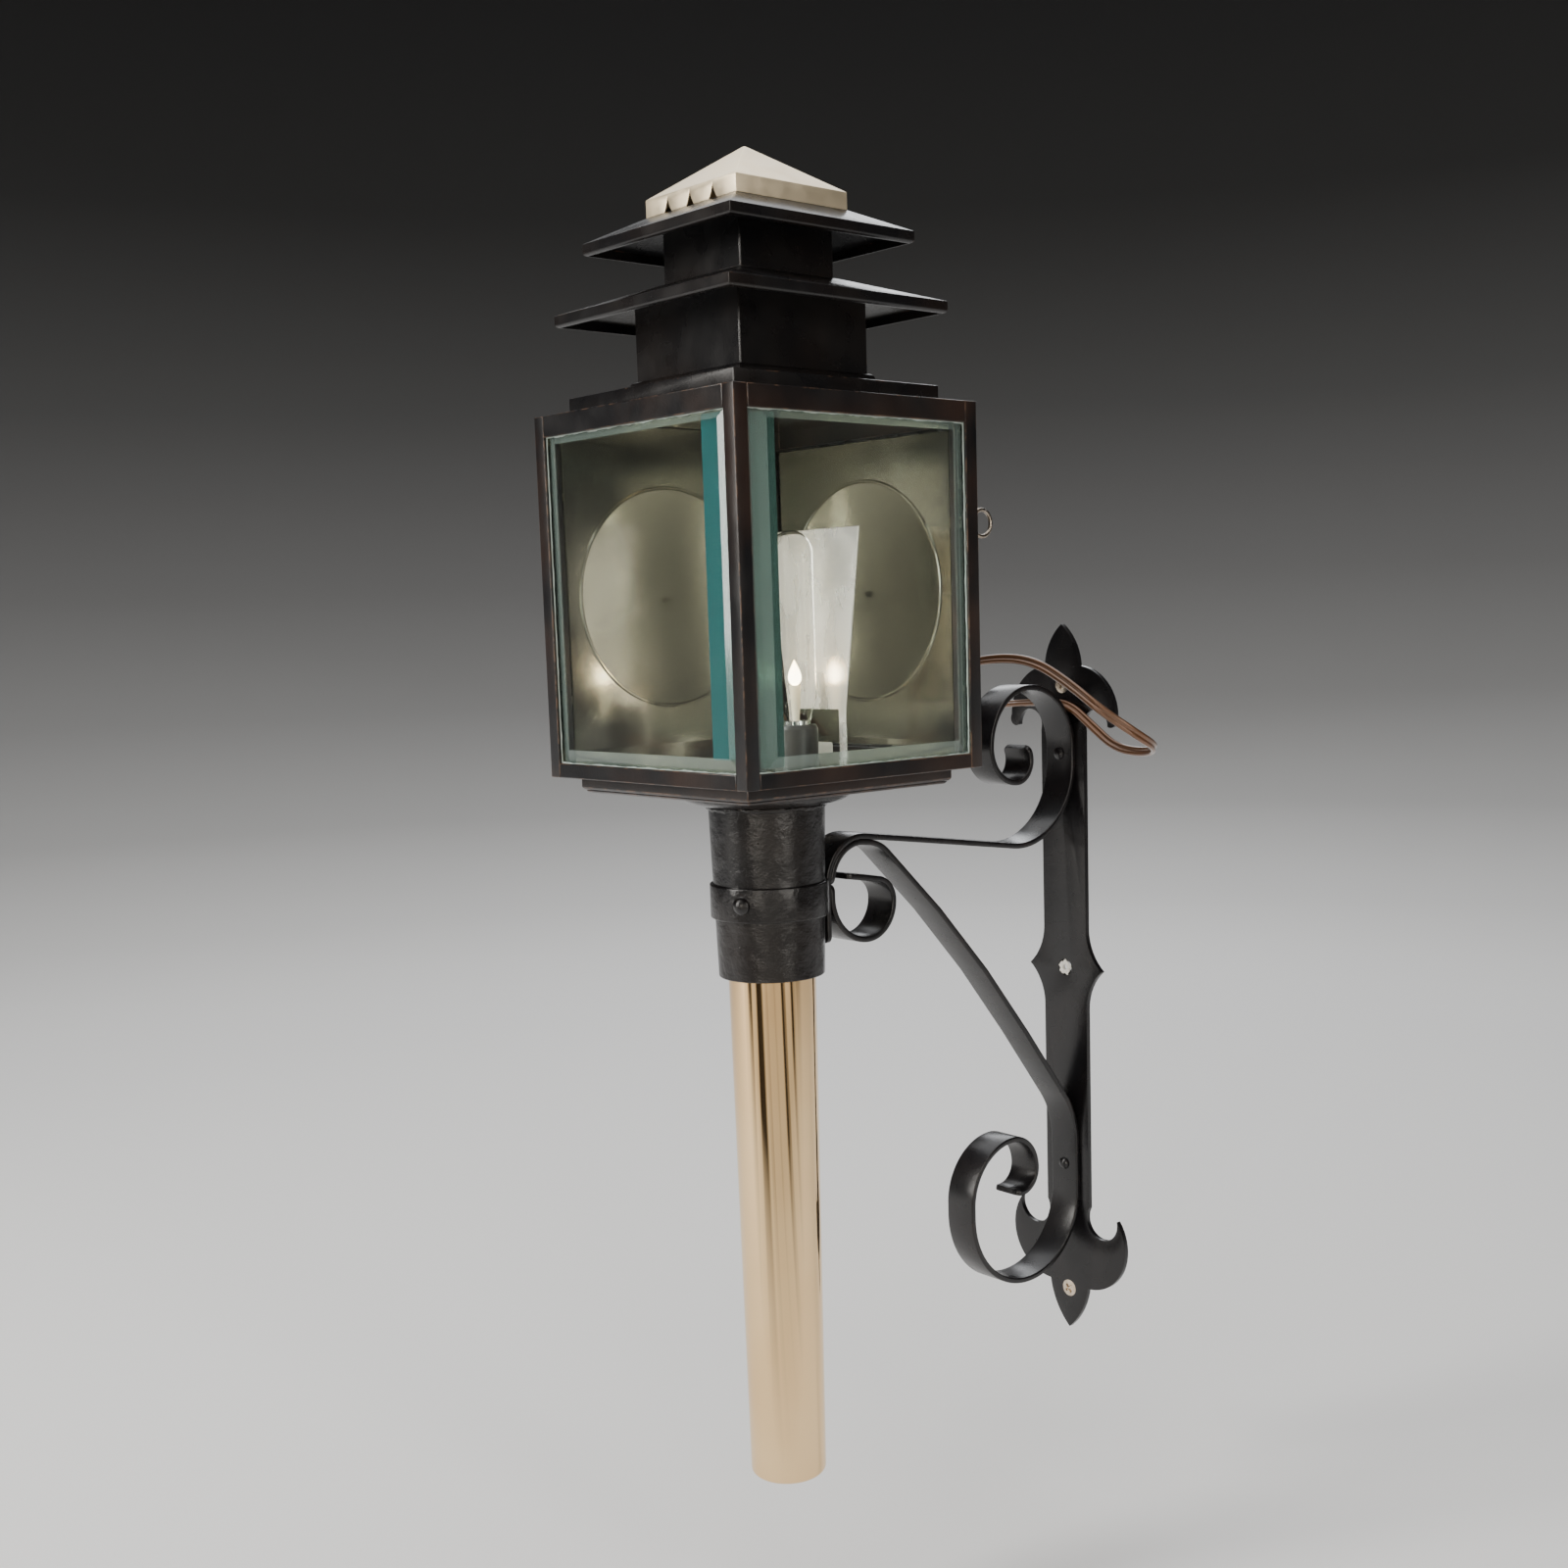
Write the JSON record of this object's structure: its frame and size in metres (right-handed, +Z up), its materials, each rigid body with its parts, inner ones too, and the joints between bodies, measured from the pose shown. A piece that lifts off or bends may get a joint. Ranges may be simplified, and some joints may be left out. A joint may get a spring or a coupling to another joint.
{
  "type": "candle lantern",
  "caption": "Wall-hung carriage lantern: glazed square case with louvred roof, brass candle tube, rear door and a scrolled flat-bar bracket on a shaped wall plate.",
  "frame": {"origin": "on the back face of the wall plate, on its centreline, midway between its two end screw holes", "axes": "+Z up; +Y into the wall, so the lantern stands out along -Y; +X to the right as seen from the room"},
  "size_m": [0.2282, 0.294, 0.6451],
  "materials": {
    "black_iron": "semi-gloss black paint on wrought flat bar, red-brown at worn edges",
    "black_paint": "gloss black paint on sheet brass, brown at worn edges",
    "spring_brass": "dull spring brass",
    "polished_brass": "highly polished",
    "pale_brass": "satin, lightly tarnished",
    "silvered_sheet": "aged silvered sheet",
    "bevelled_glass": "clear, bevelled, blue-green at the edges",
    "hinge_steel": "darkened steel",
    "holder_black": "moulded black",
    "bulb_cap_metal": "plain",
    "bulb_glass": "clear, thin",
    "flame_stem": "translucent ivory",
    "flame_glow": "lit, warm white",
    "mirror_plate": "polished, slightly hazed",
    "nylon": "off-white nylon",
    "rubber": "black, ribbed",
    "flex": "copper-brown clear twin flex"
  },
  "bodies": {
    "lantern": {"wall_plate": "black_iron", "upper_strap": "black_iron", "lower_strap": "black_iron", "plate_rivets": "black_iron", "clamp_band": "black_paint", "clamp_rivet": "black_iron", "clamp_screw": "black_iron", "socket_dome": "black_paint", "socket_ferrule": "black_paint", "spring_sleeve": "spring_brass", "case_floor": "silvered_sheet", "ceiling_plate": "silvered_sheet", "base_tray": "black_paint", "front_glass": "bevelled_glass", "side_glass": "bevelled_glass", "front_glass_bead": "black_paint", "side_glass_bead": "black_paint", "left_wall": "black_paint", "case_hinge_leaves": "hinge_steel", "hinge_pins": "hinge_steel", "roof_pan": "black_paint", "lower_neck": "black_paint", "neck_bead": "black_paint", "lower_louvre": "black_paint", "upper_neck": "black_paint", "upper_louvre": "black_paint", "vent_cap": "pale_brass", "inner_chimney": "silvered_sheet", "lampholder_base": "holder_black", "lampholder_screws": "hinge_steel", "lampholder": "holder_black", "bulb_cap": "bulb_cap_metal", "bulb_glass": "bulb_glass", "flame_stem": "flame_stem", "flame_diffuser": "flame_glow", "flame_mirror": "mirror_plate", "inner_terminal_block": "nylon", "cable_gland": "holder_black", "strain_relief": "rubber", "flex_cord": "flex", "inner_flex": "flex", "flex_connector": "nylon", "side_reflector": "silvered_sheet", "side_reflector_studs": "hinge_steel", "post_front_left": "black_paint", "post_front_right": "black_paint", "post_rear_left": "black_paint", "post_rear_right": "black_paint", "bottom_rails": "black_paint", "top_rails": "black_paint"},
    "door": {"rear_door": "black_paint", "door_hinge_leaves": "hinge_steel", "door_reflector": "silvered_sheet", "door_reflector_studs": "hinge_steel", "catch_plate": "black_paint"},
    "catch": {"catch_spindle": "hinge_steel", "catch_tongue": "hinge_steel", "pull_loop": "hinge_steel"},
    "tube": {"candle_tube": "polished_brass", "tube_end_cap": "polished_brass"}
  },
  "joints": [
    {"name": "door_hinge", "type": "hinge", "parent": "lantern", "child": "door", "pos_m": [-0.0675, -0.145, 0.2275], "axis": [0, 0, 1], "range_deg": [0, 38]},
    {"name": "catch_turn", "type": "hinge", "parent": "door", "child": "catch", "pos_m": [0.059, -0.148, 0.2597], "axis": [0, 1, 0], "range_deg": [0, 90]},
    {"name": "tube_draw", "type": "slide", "parent": "lantern", "child": "tube", "axis": [0, 0, -1], "range_m": [0, 0.075]}
  ]
}
